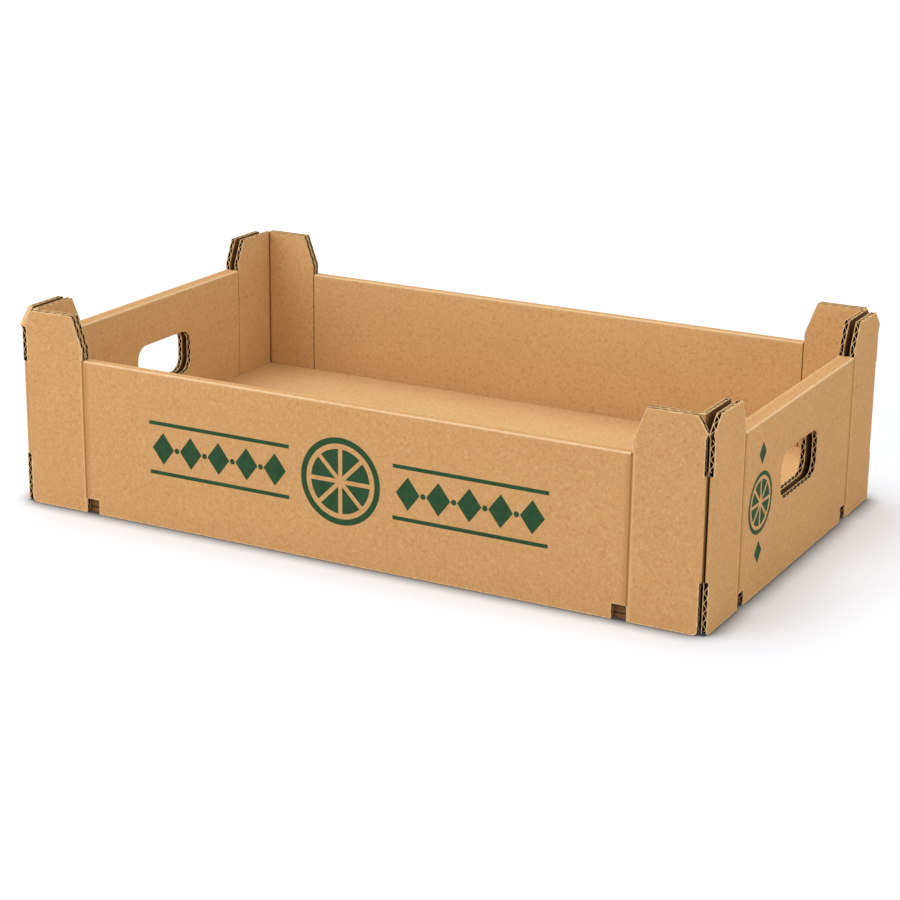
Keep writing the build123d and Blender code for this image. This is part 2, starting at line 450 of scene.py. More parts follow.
def mottled_paper(name, first, second, scale):
    """Two colours mixed in fine noise: the die-cut rim of a liner or of the fluting with loose fibre ends,
    and also the materials of painted shade and light, pressed paper and worn rims.
    """
    material, tree, shader = matt_shader(name)
    where = add_node(tree, "ShaderNodeTexCoord").outputs["Object"]
    ends = spread(tree, noise(tree, where, scale), 0.35, 0.65)
    paper_surface(tree, shader, blend_colour(tree, ends, first, second), ends, 0.0001)
    return material


def printing_ink():
    """Matt green ink that the pulp shows through a little."""
    material, tree, shader = matt_shader("green_ink", roughness=0.7)
    flat = paper_coordinates(tree)
    cover = spread(tree, noise(tree, flat, 180.0, 3.0, 0.65), 0.35, 0.75)
    pinholes = spread(tree, noise(tree, flat, 1500.0), 0.72, 0.80, 0.0, 0.5)
    colour = blend_colour(tree, cover, INK_GREEN, INK_DARK)
    colour = blend_colour(tree, pinholes, colour, KRAFT_DARK)
    paper_surface(tree, shader, colour, noise(tree, flat, PULP_GRAIN), 0.00008)
    return material


liner_material = kraft_liner()
cut_material = mottled_paper("cut_liner_rim", CUT_PAPER, KRAFT, 900.0)
# Painted shade and light: darkened fluting paper, near-black hollows and joints, a lighter copy for the
# lugs' tops, pressed paper darkened as shade, rim lines of wear and painted highlight
shaded_flute_material = mottled_paper("flute_paper", SHADED_FLUTE_PAPER, FLUTE_SHADE, 500.0)
shade_material = mottled_paper("flute_hollow", FLUTE_SHADE, DEEP_SHADE, 500.0)
lit_material = mottled_paper("lit_flute_hollow", LIT_HOLLOW, PRESSED_SHADED_KRAFT, 500.0)
pressed_shaded_material = mottled_paper("pressed_shaded_liner", PRESSED_SHADED_KRAFT, KRAFT_DARK, 400.0)
worn_highlight_material = mottled_paper("worn_highlight_rim", WORN_HIGHLIGHT_KRAFT, KRAFT, 300.0)
ink_material = printing_ink()


# Outlines, anticlockwise: those of panels as runs of points that are die-cut, crushed or folded


def around(centre, radius, angle):
    """Point of a circle."""
    return centre[0] + radius * math.cos(angle), centre[1] + radius * math.sin(angle)


def arc(centre, radius, start, stop, steps):
    """Points of an arc, angles in quarter turns."""
    return [
        around(centre, radius, (start + (stop - start) * i / steps) * math.pi / 2)
        for i in range(steps + 1)
    ]


def ring(centre, radius, steps):
    """Points of a whole circle."""
    return [around(centre, radius, math.tau * i / steps) for i in range(steps)]


def fold_arc(x, y):
    """Rounded outside of a fold in place of the corner x, y."""
    return arc((x - fold_radius, y - fold_radius), fold_radius, 0, 1, fold_steps)[::-1]


def outer_panel_runs(score, slot_edge, folded_edge, tip_edge, corner, rim_height, foot, crushed):
    """Outer panel with its lugs, corner slots and bottom notches, its bevels open or crushed."""
    left, right = score - notch_width + notch_radius, score - notch_radius
    level = notch_height - notch_radius
    bottom = [
        (0, 0),
        (score - notch_width, 0),
        *arc((left, level), notch_radius, 2, 1, notch_steps),
        *arc((right, level), notch_radius, 1, 0, notch_steps),
        (score, 0),
        *arc((slot_edge - foot_radius, foot_radius), foot_radius, -1, 0, notch_steps),
        (slot_edge, lower_slot_top - slot_bevel),
        (folded_edge, flap_bottom),
    ]
    slot = [
        (folded_edge, flap_top),
        (slot_edge, upper_slot_bottom + slot_bevel),
        (slot_edge, tip_height - tip_depth),
        (tip_edge, tip_height),
    ]
    lug = [
        (corner - corner_bevel_width, column_height),
        (score + lug_lean, column_height),
        (score, rim_height + foot),
        (score, rim_height - fold_radius),
        (score - rim_slit, rim_height - fold_radius),
    ]
    if crushed:
        runs = [("cut", slot), ("crushed", [slot[-1], lug[0]]), ("cut", lug)]
    else:
        runs = [("cut", slot + lug)]
    return both_halves(
        [
            ("cut", bottom),
            ("fold", [bottom[-1], slot[0]]),
            *runs,
            ("fold", [lug[-1], (0, rim_height - fold_radius)]),
        ]
    )


def both_halves(runs):
    """A half outline and its mirror image, one round."""
    mirrored = [(kind, [(-u, v) for u, v in reversed(points)]) for kind, points in reversed(runs)]
    return runs + mirrored


def round_outline(runs):
    """The points of a round of runs, none twice."""
    points = []
    for _, run in runs:
        for point in run:
            if not points or math.dist(points[-1], point) > same_point:
                points.append(point)
    return points[:-1] if math.dist(points[0], points[-1]) < same_point else points


def hand_hole_outline(margin=0.0):
    """Outline of a hand hole, or of a wider one round it."""
    points = []
    for quarter, (side, level) in enumerate(((1, -1), (1, 1), (-1, 1), (-1, -1))):
        middle = (
            side * (hole_width / 2 - hole_radius),
            hole_centre + level * (hole_height / 2 - hole_radius),
        )
        points += arc(middle, hole_radius + margin, quarter - 1, quarter, hole_steps)
    return points


def cut_sides(runs):
    """Straight die-cut sides that show their fluting, and how far the hollow runs past each end."""
    for kind, points in runs:
        if kind == "cut":
            # At a fold the hollow stops, or goes on over one short side that lies before the fold
            shut = {points[0]: 0.0, points[-1]: 0.0}
            for last, before in ((points[0], points[1]), (points[-1], points[-2])):
                if math.dist(last, before) < least_fluted:
                    shut[before] = math.dist(last, before)
            for start, stop in zip(points, points[1:]):
                if math.dist(start, stop) >= least_fluted:
                    past = [shut.get(p, flute_depth) if p[0] else flute_depth for p in (start, stop)]
                    yield (start, stop), past


def side_directions(side):
    """Directions of length 1 along a straight side and to its left, into the board."""
    (u1, v1), (u2, v2) = side
    reach = math.dist(*side)
    along = ((u2 - u1) / reach, (v2 - v1) / reach)
    return along, (-along[1], along[0])


def beside(points, distance):
    """A line of points moved to its left, its corners mitred."""
    ways = [side_directions(side)[0] for side in zip(points, points[1:])]
    moved = []
    for here, before, after in zip(points, ways[:1] + ways, ways + ways[-1:]):
        share = distance / (1 + before[0] * after[0] + before[1] * after[1])
        u = here[0] - (before[1] + after[1]) * share
        v = here[1] + (before[0] + after[0]) * share
        moved.append((u, v))
    return moved


# Places: from flat coordinates and a depth or a length into the row's frame


def on_long_wall(face, side, end=1):
    """Along a long wall, up, and depth from an upright face there."""
    return lambda u, v, w: Vector((end * u, side * (face - w), v))


def on_end_wall(face, end, side=1):
    """Along an end wall, up, and depth from an upright face there."""
    return lambda u, v, w: Vector((end * (face - w), side * u, v))


def across_long_wall(side):
    """Out from the middle, up, and along the wall."""
    return lambda y, z, x: Vector((x, side * y, z))


def across_end_wall(end):
    """Out from the middle, up, and along the wall."""
    return lambda x, z, y: Vector((end * x, y, z))


def corner_plan(end, side):
    """Out from the middle towards one corner, and up."""
    return lambda x, y, z: Vector((end * x, side * y, z))


# Solids


def prism(name, outline, place, low, high, cap, side=None):
    """Closed solid: a flat outline between two depths, with a material for its caps and sides."""
    made = bmesh.new()
    lower = [made.verts.new(place(u, v, low) * MM) for u, v in outline]
    upper = [made.verts.new(place(u, v, high) * MM) for u, v in outline]
    made.faces.new(lower)
    made.faces.new(upper)
    for i in range(len(outline)):
        j = (i + 1) % len(outline)
        made.faces.new((lower[i], lower[j], upper[j], upper[i])).material_index = 1
    bmesh.ops.recalc_face_normals(made, faces=made.faces)
    mesh = bpy.data.meshes.new(name)
    made.to_mesh(mesh)
    made.free()
    mesh.materials.append(cap)
    mesh.materials.append(side or cap)
    return bpy.data.objects.new(name, mesh)


def applied(piece, step):
    """Apply a piece's modifier and take the piece out of the scene."""
    view = bpy.context.evaluated_depsgraph_get()
    result = bpy.data.meshes.new_from_object(piece.evaluated_get(view))
    piece.modifiers.remove(step)
    piece.data = result
    bpy.context.scene.collection.objects.unlink(piece)
    return result


def combine(base, others, operation):
    """Join other solids to a base, or cut them out of it."""
    group = bpy.data.collections.new("tools")
    for other in others:
        group.objects.link(other)
    bpy.context.scene.collection.objects.link(base)
    step = base.modifiers.new("combine", "BOOLEAN")
    step.operation = operation
    step.operand_type = "COLLECTION"
    step.collection = group
    step.solver = "MANIFOLD"
    step.material_mode = "TRANSFER"
    applied(base, step)
    for other in others:
        bpy.data.objects.remove(other)
    bpy.data.collections.remove(group)
    return base


def flute_hollow(side, past, place):
    """Solid to cut out between the liners along one die-cut side, lined with painted shade, or on a top
    with a lighter copy as painted light.
    """
    along, inward = side_directions(side)
    is_top = along[0] < -0.9
    depth = top_flute_depth if is_top else flute_depth
    corners = [
        (u + along[0] * forth + inward[0] * deep, v + along[1] * forth + inward[1] * deep)
        for (u, v), forth, deep in (
            (side[0], -past[0], -overrun),
            (side[1], past[1], -overrun),
            (side[1], past[1], depth),
            (side[0], -past[0], depth),
        )
    ]
    inside = lit_material if is_top else shade_material
    return prism("hollow", corners, place, liner, board - liner, inside)


class Fluting:
    """The middle lines of the fluting along the die-cut sides of one piece."""

    def __init__(self):
        self.points = []
        self.edges = []
        self.inward = []
        self.across = []

    def add_line(self, line, inwards, place, middle, closed=False):
        """A line of flat points at one depth, with the direction into the board at each."""
        first = len(self.points)
        for (u, v), (iu, iv) in zip(line, inwards):
            here = place(u, v, middle)
            self.points.append(here * MM)
            self.inward.append(place(u + iu, v + iv, middle) - here)
            self.across.append(place(u, v, middle + 1) - here)
        last = len(self.points) - 1
        self.edges += [(i, i + 1) for i in range(first, last)]
        if closed:
            self.edges.append((last, first))

    def add_side(self, side, place):
        """One straight side of an anticlockwise outline."""
        self.add_line(side, [side_directions(side)[1]] * 2, place, board / 2)

    def solid(self, name):
        """The waved paper as a plain object."""
        mesh = bpy.data.meshes.new(name)
        mesh.from_pydata(self.points, self.edges, [])
        for title, values in (("inward", self.inward), ("across", self.across)):
            layer = mesh.attributes.new(title, "FLOAT_VECTOR", "POINT")
            layer.data.foreach_set("vector", [c for value in values for c in value])
        return waved_by_nodes(name, mesh)


def fluting_tree():
    """Geometry nodes that wave a line between the liners and give it depth and thickness."""
    tree = bpy.data.node_groups.new("fluting", "GeometryNodeTree")
    for kind, *titles in (
        ("Geometry", "Geometry"),
        ("Float", "Pitch", "Swing", "Depth", "Thickness", "Unevenness"),
        ("Int", "Steps", "Seed"),
        ("Material", "Inner Paper", "Cut Paper"),
    ):
        for title in titles:
            tree.interface.new_socket(title, in_out="INPUT", socket_type=f"NodeSocket{kind}")
    tree.interface.new_socket("Geometry", in_out="OUTPUT", socket_type="NodeSocketGeometry")
    given = tree.nodes.new("NodeGroupInput").outputs

    across, inward = (
        add_node(
            tree, "GeometryNodeInputNamedAttribute", {"data_type": "FLOAT_VECTOR"}, Name=title
        ).outputs["Attribute"]
        for title in ("across", "inward")
    )

    def first_of(kind, settings=None, **inputs):
        """First output of a new node."""
        return add_node(tree, kind, settings, **inputs).outputs[0]

    # The wave, along a line cut into even steps
    line = first_of("GeometryNodeMeshToCurve", Mesh=given["Geometry"])
    step = figure(tree, "DIVIDE", given["Pitch"], given["Steps"])
    line = first_of("GeometryNodeResampleCurve", {"mode": "LENGTH"}, Curve=line, Length=step)
    run = add_node(tree, "GeometryNodeSplineParameter").outputs["Length"]
    which = add_node(tree, "GeometryNodeCurveOfPoint").outputs["Curve Index"]
    chance = add_node(tree, "FunctionNodeRandomValue", ID=which, Seed=given["Seed"]).outputs[1]
    turn = figure(tree, "MULTIPLY", figure(tree, "DIVIDE", run, given["Pitch"]), 2 * math.pi)
    start = figure(tree, "MULTIPLY", chance, 2 * math.pi)
    uneven = add_node(tree, "ShaderNodeTexNoise", Scale=120.0, Detail=1.0).outputs["Fac"]
    slip = figure(tree, "MULTIPLY", figure(tree, "SUBTRACT", uneven, 0.5), given["Unevenness"])
    wave = figure(tree, "SINE", figure(tree, "ADD", turn, start, slip))
    half_paper = figure(tree, "MULTIPLY", given["Thickness"], 0.5)
    rise = figure(tree, "SUBTRACT", figure(tree, "MULTIPLY", wave, given["Swing"]), half_paper)
    offset = first_of("ShaderNodeVectorMath", {"operation": "SCALE"}, _0=across, _3=rise)
    line = first_of("GeometryNodeSetPosition", Geometry=line, Offset=offset)

    # The sheet that runs from it into the board, and its thickness
    wire = first_of("GeometryNodeCurveToMesh", Curve=line)
    sheet = first_of(
        "GeometryNodeExtrudeMesh", {"mode": "EDGES"}, Mesh=wire, Offset=inward, Offset_Scale=given["Depth"]
    )
    thick = first_of(
        "GeometryNodeExtrudeMesh",
        {"mode": "FACES"},
        Mesh=sheet,
        Offset=across,
        Offset_Scale=given["Thickness"],
        Individual=False,
    )
    under = first_of("GeometryNodeFlipFaces", Mesh=sheet)
    both = tree.nodes.new("GeometryNodeJoinGeometry")
    tree.links.new(under, both.inputs[0])
    tree.links.new(thick, both.inputs[0])
    whole = first_of("GeometryNodeMergeByDistance", Geometry=both.outputs[0], Distance=1e-6)
    whole = first_of("GeometryNodeRealizeInstances", Geometry=whole)

    # Cut paper on the faces that look out of the board or into it
    whole = first_of("GeometryNodeSetMaterial", Geometry=whole, Material=given["Inner Paper"])
    facing = add_node(
        tree,
        "ShaderNodeVectorMath",
        {"operation": "DOT_PRODUCT"},
        _0=first_of("GeometryNodeInputNormal"),
        _1=inward,
    ).outputs["Value"]
    at_cut = first_of(
        "FunctionNodeCompare",
        {"data_type": "FLOAT", "operation": "GREATER_THAN"},
        _0=figure(tree, "ABSOLUTE", facing),
        _1=0.5,
    )
    whole = first_of(
        "GeometryNodeSetMaterial", Geometry=whole, Selection=at_cut, Material=given["Cut Paper"]
    )
    out = tree.nodes.new("NodeGroupOutput")
    tree.links.new(whole, out.inputs[0])
    return tree


def waved_by_nodes(name, mesh):
    """Run the fluting tree on a mesh of lines and return the plain result."""
    piece = bpy.data.objects.new(name, mesh)
    bpy.context.scene.collection.objects.link(piece)
    step = piece.modifiers.new("fluting", "NODES")
    step.node_group = flute_nodes
    values = {
        "Pitch": flute_pitch * MM,
        "Swing": (board - 2 * liner - flute_paper) / 2 * MM,
        "Depth": flute_depth * MM,
        "Thickness": flute_paper * MM,
        "Unevenness": 2.2,
        "Steps": 10,
        "Seed": 7,
        "Inner Paper": shaded_flute_material,
        "Cut Paper": cut_material,
    }
    for socket in flute_nodes.interface.items_tree:
        if socket.name in values:
            step[socket.identifier] = values[socket.name]
    result = applied(piece, step)
    made = bmesh.new()
    made.from_mesh(result)
    bmesh.ops.recalc_face_normals(made, faces=made.faces)
    made.to_mesh(result)
    made.free()
    return piece


def fluted_panel(name, runs, place, fluting, with_hole=False):
    """A flat panel of board whose die-cut sides stand open between the liners."""
    panel = prism(name, round_outline(runs), place, 0, board, liner_material, cut_material)
    hollows = []
    for side, past in cut_sides(runs):
        hollows.append(flute_hollow(side, past, place))
        fluting.add_side(side, place)
    panel = combine(panel, hollows, "DIFFERENCE")
    if with_hole:
        panel = fluted_hole(panel, place, 0, board, fluting)
    return panel


def fluted_hole(panel, place, low, high, fluting):
    """Cut the hand hole through a layer of board, with the fluting open all round it."""
    outline = hand_hole_outline()
    wider = hand_hole_outline(flute_depth)
    through = prism("hole", outline, place, low - overrun, high + overrun, cut_material)
    # The hollow round the hole is lined with painted shade
    hollow = prism("hollow", wider, place, low + liner, high - liner, shade_material)
    panel = combine(panel, [through], "DIFFERENCE")
    panel = combine(panel, [hollow], "DIFFERENCE")

    # The board lies left of the way from a point's next neighbour to the one before it
    neighbours = zip(outline[1:] + outline[:1], outline[-1:] + outline[:-1])
    inwards = [side_directions(pair)[1] for pair in neighbours]
    fluting.add_line(outline, inwards, place, (low + high) / 2, closed=True)
    return panel


# The tray's sheet


def rolled_wall_section(outside, wall, rim_height):
    """Section of a rim, the inner wall below it and the fold into the floor."""
    rim_fold = rim_height - fold_radius
    inside = outside - wall
    return [
        *arc((outside - fold_radius, rim_fold), fold_radius, 0, 1, fold_steps),
        *arc((inside + fold_radius, rim_fold), fold_radius, 1, 2, fold_steps),
        (inside, floor_top),
        (inside - 2 * fold_radius, floor_top),
        (inside - 2 * fold_radius, floor_rise),
        *arc((inside + board - fold_radius, floor_rise + fold_radius), fold_radius, -1, 0, fold_steps),
        (inside + board, rim_height - board),
        (outside, rim_height - board),
    ]


def pressed_score(place, score, wall_height):
    """Bead to press out of a panel's outer face along an upright line, its groove in darker pressed paper
    that also paints shade.
    """
    bead = ring((score, score_depth - score_radius), score_radius, bead_steps)
    return prism(
        "score", bead, lambda u, w, v: place(u, v, w), notch_height, wall_height, pressed_shaded_material
    )


def rim_score(place, middle, height, reach):
    """Shallow bead along the middle of a rim, where the board is bent twice."""
    bead = ring((0, rim_score_depth - rim_score_radius), rim_score_radius, bead_steps)
    outline = [(middle + across, height - depth) for across, depth in bead]
    return prism("score", outline, place, -reach, reach, liner_material)


def pressed_edge(end, side):
    """Rounds the end panel's edge between the slots, where it lies on the corner fold."""
    edge, face, past = end_panel_edge - skin, half_length - skin, half_length + overrun
    outline = [
        (face - board, edge),
        *fold_arc(face, edge),
        (face, edge - 2 * fold_radius),
        (past, edge - 2 * fold_radius),
        (past, half_width),
        (face - board, half_width),
    ]
    place = corner_plan(end, side)
    return prism("pressed_edge", outline, place, flap_bottom, flap_top, liner_material)


def open_joint(end, side):
    """Opens the joint between the end panel's edge and the corner fold behind it, its faces painted shade.
    """
    edge, back = end_panel_edge + joint_lip, half_length - board
    outline = [
        (back - glue_line / 2, edge - joint_depth),
        (back + joint_width, edge - joint_depth / 2),
        (back + joint_width, edge),
        (back - glue_line / 2, edge),
    ]
    place = corner_plan(end, side)
    return prism("open_joint", outline, place, flap_bottom, flap_top, shade_material)


def glue_flap(end, side):
    """The long panel turned round the corner and laid behind the end panel."""
    outline = [
        (wrap_edge - 3 * fold_radius, half_width),
        *fold_arc(wrap_edge, half_width),
        (wrap_edge, half_width - flap_reach),
        (wrap_edge - board, half_width - flap_reach),
        (wrap_edge - board, half_width - board),
        (wrap_edge - 3 * fold_radius, half_width - board),
    ]
    place = corner_plan(end, side)
    return prism("flap", outline, place, flap_bottom, flap_top, cut_material, liner_material)


def floor_sheet():
    """Floor between the walls, clear of the corner posts."""
    x = half_length - end_wall - floor_gap
    y = half_width - long_wall - floor_gap
    outline = [(-x, -y), (x, -y), (x, y), (-x, y)]
    place = corner_plan(1, 1)
    return prism("floor", outline, place, floor_rise, floor_top, liner_material, cut_material)


def long_wall_solids(side, fluting):
    """Outer panel and rolled inner wall of the front or the back, and the lines of wear and painted
    highlight along the panel's rims.
    """
    runs = outer_panel_runs(
        long_score,
        long_slot_edge,
        wrap_edge - fold_radius,
        wrap_edge,
        half_length,
        long_wall_height,
        long_lug_foot,
        crushed=False,
    )
    place = on_long_wall(half_width, side)
    panel = fluted_panel("long_panel", runs, place, fluting)
    section = rolled_wall_section(half_width, long_wall, long_wall_height)
    across = across_long_wall(side)
    roll = prism("long_roll", section, across, -long_reach, long_reach, cut_material, liner_material)
    return [panel, roll], worn_highlight_stamps(runs, place)


def end_wall_solids(end, fluting):
    """Outer panel, rolled inner wall and glue flaps of an end, and the lines of wear and painted highlight
    along the panel's rims.
    """
    runs = outer_panel_runs(
        end_score,
        end_panel_edge,
        end_panel_edge,
        half_width - end_tip_setback,
        half_width,
        end_wall_height,
        end_lug_foot,
        crushed=end < 0,
    )
    place = on_end_wall(half_length, end)
    panel = fluted_panel("end_panel", runs, place, fluting, with_hole=True)
    for side in (-1, 1):
        panel = combine(panel, [pressed_edge(end, side)], "DIFFERENCE")
        panel = combine(panel, [open_joint(end, side)], "DIFFERENCE")
    section = rolled_wall_section(half_length, end_wall, end_wall_height)
    across = across_end_wall(end)
    roll = prism("end_roll", section, across, -end_reach, end_reach, cut_material, liner_material)
    roll = fluted_hole(roll, place, end_wall - board, end_wall, fluting)
    flaps = [glue_flap(end, side) for side in (-1, 1)]
    return [panel, roll, *flaps], worn_highlight_stamps(runs, place)


def score_beads(side):
    """Beads pressed into the outer faces and rims of one long wall and one end wall."""
    long_face, end_face = on_long_wall(half_width, side), on_end_wall(half_length, side)
    beads = []
    for hand in (-1, 1):
        beads.append(pressed_score(long_face, hand * long_score, long_wall_height))
        beads.append(pressed_score(end_face, hand * end_score, end_wall_height))
    long_middle, end_middle = half_width - long_wall / 2, half_length - end_wall / 2
    return [
        *beads,
        rim_score(across_long_wall(side), long_middle, long_wall_height, long_reach),
        rim_score(across_end_wall(side), end_middle, end_wall_height, end_reach),
    ]


def build_tray():
    """The die-cut sheet, folded and glued, as one closed mesh with its fluting."""
    fluting = Fluting()
    solids = []
    stamps = print_stamps()
    for wall_solids in (long_wall_solids, end_wall_solids):
        for side in (-1, 1):
            made, rims = wall_solids(side, fluting)
            solids += made
            stamps += rims
    sheet = combine(floor_sheet(), solids, "UNION")
    sheet.name = "tray_sheet"
    sheet = combine(sheet, score_beads(-1) + score_beads(1), "DIFFERENCE")
    sheet = combine(sheet, stamps, "DIFFERENCE")
    return joined(sheet, fluting.solid("tray_fluting"))


# Print, and lines of wear and painted highlight along the rims, as shallow stamps in the outer faces


def stamp(outline, place, material=None):
    """A flat shape to press into a panel's outer face."""
    return prism("stamp", outline, place, -overrun, ink_depth, material or ink_material)


def slice_stamps(centre, radius, place):
    """Round of a cut fruit: wedge segments and a rind."""
    half = math.pi / slice_wedges
    gap, reach = wedge_gap * radius, wedge_reach * radius
    turn = half - math.asin(gap / reach)
    stamps = []
    for i in range(slice_wedges):
        middle = half + i * 2 * half
        tip = around(centre, gap / math.sin(half), middle)
        edge = [
            around(centre, reach, middle + turn * (2 * k / wedge_steps - 1))
            for k in range(wedge_steps + 1)
        ]
        stamps.append(stamp([tip, *edge], place))
    for i in range(rind_pieces):
        a, b = math.tau * i / rind_pieces, math.tau * (i + 1) / rind_pieces
        middle = (a + b) / 2
        inside = rind_inside * radius
        corners = [(inside, a), (radius, a), (radius, middle), (radius, b), (inside, b), (inside, middle)]
        stamps.append(stamp([around(centre, r, angle) for r, angle in corners], place))
    return stamps


def worn_highlight_stamps(runs, place):
    """Thin lighter lines along the die-cut rims of a panel's outer face, partly wear and partly painted
    highlight.
    """
    return [
        stamp(beside(points, -rim_line_past) + beside(points, rim_line)[::-1], place, worn_highlight_material)
        for kind, points in runs
        if kind != "fold"
    ]


def diamond_stamp(u, v, width, height, place):
    """A printed diamond."""
    outline = [(u - width / 2, v), (u, v - height / 2), (u + width / 2, v), (u, v + height / 2)]
    return stamp(outline, place)


def print_stamps():
    """All the printed shapes, on the front and the right end."""
    front, right = on_long_wall(half_width, -1), on_end_wall(half_length, 1)
    frieze = frieze_stop - frieze_start
    stamps = slice_stamps((0, front_middle), front_slice, front)
    for hand in (-1, 1):
        near, far = sorted((hand * frieze_start, hand * frieze_stop))
        for level in (front_middle - rule_level, front_middle + rule_level):
            low, high = level - rule_width / 2, level + rule_width / 2
            rule = [(near, low), (far, low), (far, high), (near, high)]
            stamps.append(stamp(rule, front))
        for i in range(frieze_diamonds):
            u = hand * (frieze_start + frieze * (i + 0.5) / frieze_diamonds)
            stamps.append(diamond_stamp(u, front_middle, *frieze_diamond, front))
            if i:
                between = hand * (frieze_start + frieze * i / frieze_diamonds)
                stamps.append(stamp(ring((between, front_middle), frieze_dot, dot_steps), front))
    stamps += slice_stamps(end_slice_place, end_slice, right)
    for height in end_diamond_heights:
        stamps.append(diamond_stamp(end_slice_place[0], height, *end_diamond, right))
    return stamps


# The corner posts


def post_leg_runs(score, edge, rim_height, foot):
    """One leg of a post, from its free edge to the fold."""
    leg = [
        (edge, column_height),
        (score + lug_lean, column_height),
        (score, rim_height + foot),
        (score, post_foot_top),
        (score - post_foot_reach, post_foot_top),
        (score - post_foot_reach, 0),
        (edge, 0),
    ]
    return [("cut", leg), ("fold", [leg[-1], leg[0]])]


def foot_crease(score, place):
    """Groove across a leg's foot, seen through the bottom notch, its faces painted shade."""
    low = foot_crease_height - foot_crease_width / 2
    high = foot_crease_height + foot_crease_width / 2
    outline = [(-overrun, low), (foot_crease_depth, low), (foot_crease_depth, high), (-overrun, high)]
    start, stop = score - notch_width - overrun, score + overrun
    return prism("crease", outline, lambda w, v, u: place(u, v, w), start, stop, shade_material)


def build_post(end, side):
    """An L of board inside one corner, its two legs cut as lugs."""
    fluting = Fluting()
    long_place, end_place = on_long_wall(post_side, side, end), on_end_wall(post_end, end, side)
    inner_x, inner_y = post_end - board, post_side - board
    long_runs = post_leg_runs(long_score, inner_x, long_wall_height, long_lug_foot)
    end_runs = post_leg_runs(end_score, inner_y, end_wall_height, end_lug_foot)
    long_leg = fluted_panel("long_leg", long_runs, long_place, fluting)
    end_leg = fluted_panel("end_leg", end_runs, end_place, fluting)
    elbow_outline = [
        (inner_x - weld, post_side),
        *fold_arc(post_end, post_side),
        (post_end, inner_y - weld),
        (inner_x, inner_y - weld),
        (inner_x - weld, inner_y),
    ]
    upright = corner_plan(end, side)
    elbow = prism("elbow", elbow_outline, upright, 0, column_height, cut_material, liner_material)
    post = combine(long_leg, [end_leg, elbow], "UNION")
    # The crease at the post's inner fold, in pressed paper darkened as painted shade
    bead = ring((inner_x, inner_y), crease_radius, crease_steps)
    creases = [
        prism("crease", bead, upright, -overrun, column_height + overrun, pressed_shaded_material),
        foot_crease(long_score, long_place),
        foot_crease(end_score, end_place),
    ]
    post = combine(post, creases, "DIFFERENCE")
    post.name = f"post_{'back' if side > 0 else 'front'}_{'right' if end > 0 else 'left'}_board"
    return joined(post, fluting.solid("post_fluting"))


# Finish of every piece


def joined(first, second):
    """Join two objects into one mesh."""
    pair = [first, second]
    for piece in pair:
        bpy.context.scene.collection.objects.link(piece)
    with bpy.context.temp_override(active_object=first, selected_editable_objects=pair):
        bpy.ops.object.join()
    return first


def fold_lines():
    """Worn folds with a painted highlight: the axis across them, their middle on it, the way outwards and
    the height.
    """
    lines = []
    for side in (-1, 1):
        for across, reach, wall, height in (
            (1, half_width, long_wall, long_wall_height),
            (0, half_length, end_wall, end_wall_height),
        ):
            for inset, way in ((fold_radius, side), (wall - fold_radius, -side)):
                lines.append((across, side * (reach - inset), way, height - fold_radius))
    return lines


def mark_fold_wear_and_highlight(mesh):
    """Set the attribute of the worn folds: 1 on the ridge of a fold, 0 where the flat begins; there the
    paper is lighter, partly wear and partly painted highlight.
    """
    layer = mesh.attributes.new("fold_wear_and_highlight", "FLOAT", "POINT")
    folds = fold_lines()
    for vertex in mesh.vertices:
        place = vertex.co / MM
        for across, middle, way, level in folds:
            out, up = (place[across] - middle) * way, place.z - level
            if min(out, up) > -weld and abs(math.hypot(out, up) - fold_radius) < near_fold:
                layer.data[vertex.index].value = math.sin(2 * math.atan2(up, out))


def lay_paper_map(mesh):
    """Flat coordinates of the sheet, in metres, so that the fibres lie in each face."""
    layer = mesh.uv_layers.new(name="sheet")
    for face in mesh.polygons:
        normal = [abs(c) for c in face.normal]
        drop = normal.index(max(normal))
        shift = FACE_SHIFT * drop + (BACK_SHIFT if face.normal[drop] > 0 else 0.0)
        for loop in face.loop_indices:
            place = mesh.vertices[mesh.loops[loop].vertex_index].co
            flat = [place[i] for i in range(3) if i != drop]
            layer.data[loop].uv = (flat[0] + shift, flat[1] + shift)


def finish_piece(piece, node):
    """Smooth folds, flat faces, paper map, and wear with a painted highlight on the folds; then attach the
    piece to the root body and hide the imported part it stands for.
    """
    mesh = piece.data
    mesh.shade_smooth()
    mesh.set_sharp_from_angle(angle=math.radians(round_turn))
    mark_fold_wear_and_highlight(mesh)
    lay_paper_map(mesh)
    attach(piece, "root")
    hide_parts(node)


flute_nodes = fluting_tree()
finish_piece(build_tray(), "tray_blank")
for end_name, end_sign in (("left", -1), ("right", 1)):
    for side_name, side_sign in (("front", -1), ("back", 1)):
        finish_piece(build_post(end_sign, side_sign), f"corner_post_{side_name}_{end_name}")


# Studio, in metres

# How the camera sees the floor, in the open and close under the tray, where a contact shadow is painted
OPEN_FLOOR = (0.775, 0.81, 0.87, 1)
PAINTED_CONTACT_SHADOW = (0.06, 0.05, 0.04, 1)
CONTACT_REACH = 0.016
CONTACT_CLEAR = (0.5, 0.98)
CONTACT_FADE = 0.7

# How far the floor is lifted towards white: under the tray, where less lift keeps the painted contact
# shadow, close by and far off
CONTACT_LIFT = 0.2
NEAR_LIFT = 0.18
FAR_LIFT = 0.60
LIFT_DISTANCES = (0.45, 1.2)

# What the floor and the sky give to the tray
FLOOR_BOUNCE = (0.66, 0.66, 0.66, 1)
SKY_COLOUR = (1.03, 0.995, 0.94, 1)
SKY_STRENGTH = 0.54

# Half the side of the floor
FLOOR_REACH = 6.0


